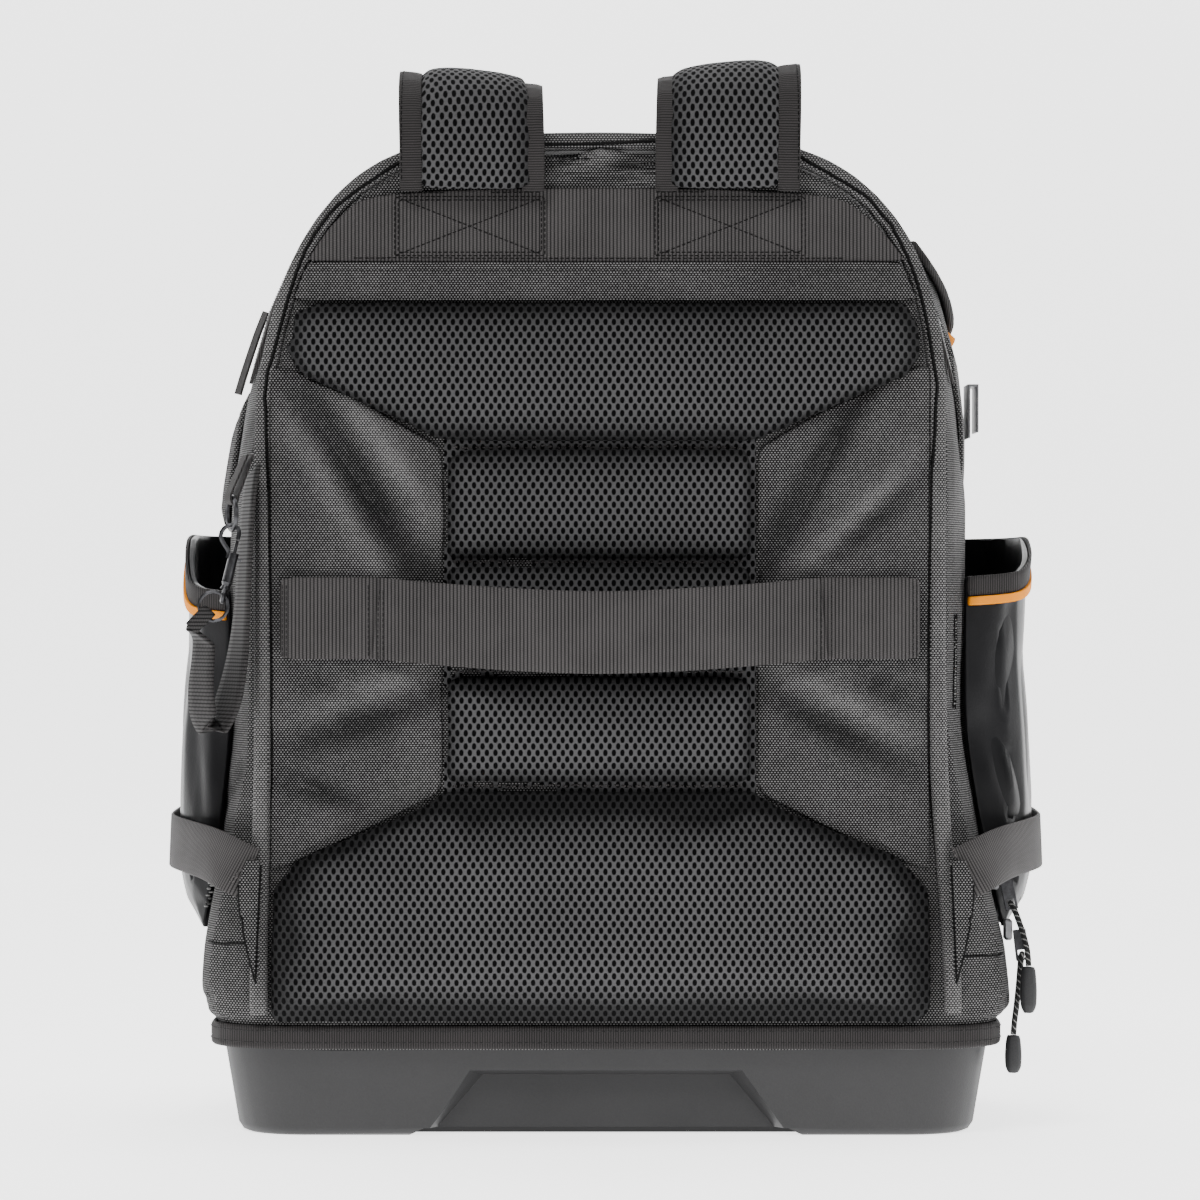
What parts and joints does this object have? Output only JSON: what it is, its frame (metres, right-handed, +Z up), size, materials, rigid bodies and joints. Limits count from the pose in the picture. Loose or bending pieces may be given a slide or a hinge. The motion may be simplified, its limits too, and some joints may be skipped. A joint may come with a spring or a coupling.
{
  "type": "tool backpack",
  "caption": "Work backpack for tools with a padded mesh back panel, webbing handle, open side pockets, key lanyard and a moulded plastic base tub.",
  "frame": {"origin": "middle of the tub's flat underside, where the backpack stands", "axes": "+Z up, -Y towards the wearer's side with the mesh panel, +X to the right as that side is looked at"},
  "size_m": [0.4238, 0.2844, 0.5052],
  "materials": {
    "base_plastic": "fine moulded grain",
    "ballistic_cloth": "coarse woven nylon",
    "mesh_cloth": "open spacer mesh over foam",
    "webbing": "ribbed webbing",
    "binding_tape": "woven tape",
    "tarpaulin": "coated cloth, half gloss",
    "yellow_piping": "coated piping",
    "black_metal": "black plated",
    "bright_metal": "plated steel",
    "tip_rubber": "matt",
    "cord": "braided cord"
  },
  "bodies": {
    "pack": {"back_piping": "ballistic_cloth", "base_binding": "binding_tape", "base_tub": "base_plastic", "body_shell": "ballistic_cloth", "cord_tip_1": "tip_rubber", "cord_tip_2": "tip_rubber", "far_compartment_left": "ballistic_cloth", "front_pocket": "ballistic_cloth", "handle_patch_left": "webbing", "handle_patch_right": "webbing", "handle_strap": "webbing", "key_strap": "webbing", "key_tab": "binding_tape", "ladder_lock_left": "base_plastic", "ladder_lock_right": "base_plastic", "lower_webbing_left": "webbing", "lower_webbing_right": "webbing", "main_zip": "binding_tape", "pad_lower": "mesh_cloth", "pad_rung_1": "mesh_cloth", "pad_rung_2": "mesh_cloth", "pad_rung_3": "mesh_cloth", "pad_upper": "mesh_cloth", "pocket_binding_left": "binding_tape", "pocket_binding_right": "binding_tape", "pocket_piping_left": "yellow_piping", "pocket_piping_right": "yellow_piping", "shoulder_strap_left": "mesh_cloth", "shoulder_strap_right": "mesh_cloth", "side_pocket_left": "tarpaulin", "side_pocket_right": "tarpaulin", "snap_hook": "black_metal", "split_ring": "black_metal", "strap_anchor_left": "ballistic_cloth", "strap_anchor_right": "ballistic_cloth", "strap_edge_left_inner": "binding_tape", "strap_edge_left_outer": "binding_tape", "strap_edge_right_inner": "binding_tape", "strap_edge_right_outer": "binding_tape", "swivel_eye": "black_metal", "tab_ring": "black_metal", "tape_clip": "bright_metal", "top_flap": "ballistic_cloth", "top_webbing_band": "webbing", "upper_pocket_binding": "binding_tape", "upper_pocket_piping": "yellow_piping", "upper_pocket_right": "tarpaulin", "wing_left": "ballistic_cloth", "wing_right": "ballistic_cloth", "zip_cord_1": "cord", "zip_cord_2": "cord", "zip_pull_1": "bright_metal", "zip_pull_2": "bright_metal", "zip_pull_left": "binding_tape", "zip_slider_1": "black_metal", "zip_slider_2": "black_metal"},
    "bolt": {"snap_bolt": "bright_metal"}
  },
  "joints": [
    {"name": "bolt_slide", "type": "slide", "parent": "pack", "child": "bolt", "axis": [-0.2419, 0, -0.9703], "range_m": [0, 0.005], "stiffness_N_per_m": 20, "springref_m": -0.002}
  ]
}
